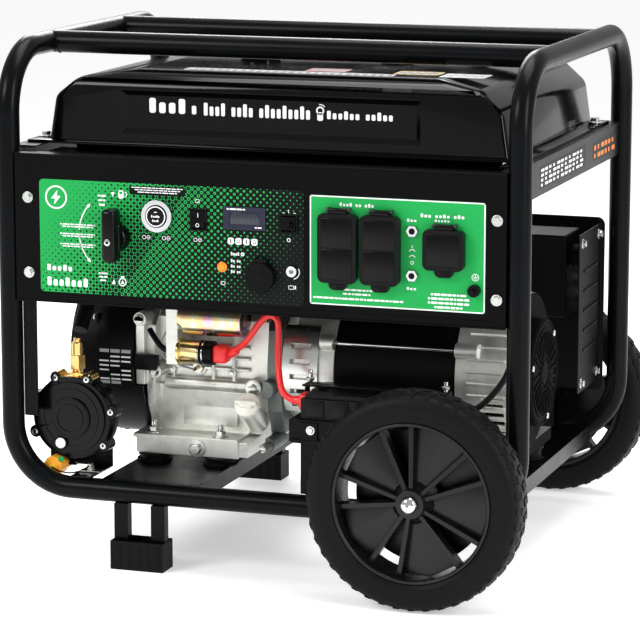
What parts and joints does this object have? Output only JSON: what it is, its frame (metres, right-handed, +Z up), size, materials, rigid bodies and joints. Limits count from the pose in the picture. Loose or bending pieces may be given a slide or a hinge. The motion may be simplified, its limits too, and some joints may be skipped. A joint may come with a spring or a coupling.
{
  "type": "portable generator",
  "caption": "Open-frame portable dual-fuel generator with control panel, fuel tank, engine, alternator, battery, wheels and feet.",
  "frame": {"origin": "middle of the object's box in plan, on the ground under the tyres and feet", "axes": "+Y from the control panel to the back, across the wheel track, which is the longest side; +Z up; +X along the panel towards the wheels"},
  "size_m": [0.7954, 0.825, 0.749],
  "materials": {
    "black_steel": "semi-gloss black powder coat",
    "tank_black": "high-gloss black enamel",
    "panel_black": "satin black powder coat",
    "label_green": "green printed label film fading into black dots",
    "cast_aluminium": "as-cast, lightly blasted",
    "zinc_plate": "clear zinc plate",
    "gold_zinc": "yellow zinc plate",
    "chrome_trim": "bright chrome",
    "brass_fitting": "machined brass",
    "black_plastic": "moulded black plastic",
    "gloss_black_plastic": "glossy black plastic",
    "display_blue": "dark blue-grey display frame",
    "lamp_orange": "orange lens",
    "rubber_black": "black rubber",
    "tyre_rubber": "solid tyre with block shoulders",
    "hub_plastic": "black moulded hub",
    "cap_white": "off-white plastic",
    "cap_orange": "orange plastic",
    "red_boot": "red vinyl",
    "dark_iron": "dark machined iron",
    "heat_black": "matt heat-resistant black",
    "battery_case": "black battery case"
  },
  "bodies": {
    "frame": {"front_frame_tube": "black_steel", "rear_frame_tube": "black_steel", "top_cross_tubes": "black_steel", "cross_channels": "black_steel", "frame_brackets": "black_steel", "foot_pads": "rubber_black", "engine_mounts": "rubber_black", "stub_axles": "zinc_plate", "tank_rails": "black_steel", "tank_upper_shell": "tank_black", "tank_lower_shell": "tank_black", "fuel_gauge": "gloss_black_plastic", "fasteners": "zinc_plate", "control_panel": "panel_black", "control_box": "panel_black", "label_plates": "label_green", "panel_bezels": "chrome_trim", "meter_display": "display_blue", "indicator_lamp": "lamp_orange", "usb_socket": "black_plastic", "outlet_sockets": "black_plastic", "ground_terminal": "black_plastic", "crankcase": "cast_aluminium", "crankcase_cover": "cast_aluminium", "cylinder_block": "cast_aluminium", "blower_housing": "gloss_black_plastic", "starter_motor": "gold_zinc", "air_cleaner": "black_plastic", "carburetor": "cast_aluminium", "muffler": "heat_black", "heat_shield": "heat_black", "alternator_front_housing": "cast_aluminium", "cooling_guard": "zinc_plate", "stator": "heat_black", "alternator_end_housing": "cast_aluminium", "gas_regulator": "gloss_black_plastic", "gas_hose": "rubber_black", "battery": "battery_case", "battery_tray": "black_steel", "battery_cables": "red_boot"},
    "front_wheel": {"front_wheel_hub": "hub_plastic", "front_tyre": "tyre_rubber"},
    "rear_wheel": {"rear_wheel_hub": "hub_plastic", "rear_tyre": "tyre_rubber"},
    "fuel_selector": {"fuel_selector_knob": "gloss_black_plastic"},
    "start_push": {"start_button": "gloss_black_plastic"},
    "run_rocker": {"run_switch": "gloss_black_plastic"},
    "breaker_rocker": {"main_breaker": "gloss_black_plastic"},
    "usb_flap": {"usb_cover": "black_plastic"},
    "left_lid": {"left_outlet_cover": "gloss_black_plastic"},
    "right_lid": {"right_outlet_cover": "gloss_black_plastic"},
    "twist_lid": {"twist_outlet_cover": "gloss_black_plastic"},
    "upper_reset": {"upper_breaker_button": "black_plastic"},
    "lower_reset": {"lower_breaker_button": "black_plastic"},
    "filler_cap": {"fuel_cap": "gloss_black_plastic"},
    "dipstick_cap": {"oil_cap": "cap_white"},
    "gas_inlet_cap": {"inlet_cap": "cap_orange"},
    "starter_grip": {"recoil_handle": "rubber_black"},
    "crank_train": {"flywheel": "dark_iron", "rotor": "dark_iron"}
  },
  "joints": [
    {"name": "front_wheel_spin", "type": "hinge", "parent": "frame", "child": "front_wheel", "pos_m": [0.24575, -0.37, 0.152], "axis": [0, 1, 0], "continuous": true},
    {"name": "rear_wheel_spin", "type": "hinge", "parent": "frame", "child": "rear_wheel", "pos_m": [0.24575, 0.37, 0.152], "axis": [0, 1, 0], "continuous": true},
    {"name": "fuel_selector_turn", "type": "hinge", "parent": "frame", "child": "fuel_selector", "pos_m": [-0.21125, -0.3068, 0.4785], "axis": [0, -1, 0], "range_deg": [0, 180]},
    {"name": "start_press", "type": "slide", "parent": "frame", "child": "start_push", "axis": [0, 1, 0], "range_m": [0, 0.003], "stiffness_N_per_m": 600},
    {"name": "run_rocker_tip", "type": "hinge", "parent": "frame", "child": "run_rocker", "pos_m": [-0.08925, -0.3048, 0.509], "axis": [1, 0, 0], "range_deg": [0, 20]},
    {"name": "breaker_rocker_tip", "type": "hinge", "parent": "frame", "child": "breaker_rocker", "pos_m": [0.04275, -0.3048, 0.5095], "axis": [1, 0, 0], "range_deg": [0, 20]},
    {"name": "usb_flap_lift", "type": "hinge", "parent": "frame", "child": "usb_flap", "pos_m": [0.00225, -0.3133, 0.4575], "axis": [1, 0, 0], "range_deg": [-120, 0]},
    {"name": "left_lid_lift", "type": "hinge", "parent": "frame", "child": "left_lid", "pos_m": [0.11605, -0.3133, 0.533], "axis": [1, 0, 0], "range_deg": [-110, 0]},
    {"name": "right_lid_lift", "type": "hinge", "parent": "frame", "child": "right_lid", "pos_m": [0.17655, -0.3133, 0.533], "axis": [1, 0, 0], "range_deg": [-110, 0]},
    {"name": "twist_lid_lift", "type": "hinge", "parent": "frame", "child": "twist_lid", "pos_m": [0.26645, -0.3133, 0.518], "axis": [1, 0, 0], "range_deg": [-110, 0]},
    {"name": "upper_reset_pop", "type": "slide", "parent": "frame", "child": "upper_reset", "axis": [0, -1, 0], "range_m": [0, 0.003]},
    {"name": "lower_reset_pop", "type": "slide", "parent": "frame", "child": "lower_reset", "axis": [0, -1, 0], "range_m": [0, 0.003]},
    {"name": "fuel_cap_turn", "type": "hinge", "parent": "frame", "child": "filler_cap", "pos_m": [-0.10825, 0, 0.711], "axis": [0, 0, 1], "range_deg": [0, 90]},
    {"name": "oil_cap_turn", "type": "hinge", "parent": "frame", "child": "dipstick_cap", "pos_m": [-0.06725, -0.128, 0.184], "axis": [0, -0.788, 0.6157], "range_deg": [0, 360]},
    {"name": "inlet_cap_turn", "type": "hinge", "parent": "frame", "child": "gas_inlet_cap", "pos_m": [-0.32925, -0.27, 0.134], "axis": [0, -1, 0], "range_deg": [0, 90]},
    {"name": "recoil_pull", "type": "slide", "parent": "frame", "child": "starter_grip", "axis": [-1, 0, 0], "range_m": [0, 0.1], "stiffness_N_per_m": 20},
    {"name": "crank_spin", "type": "hinge", "parent": "frame", "child": "crank_train", "pos_m": [-0.00825, -0.045, 0.271], "axis": [1, 0, 0], "continuous": true}
  ]
}
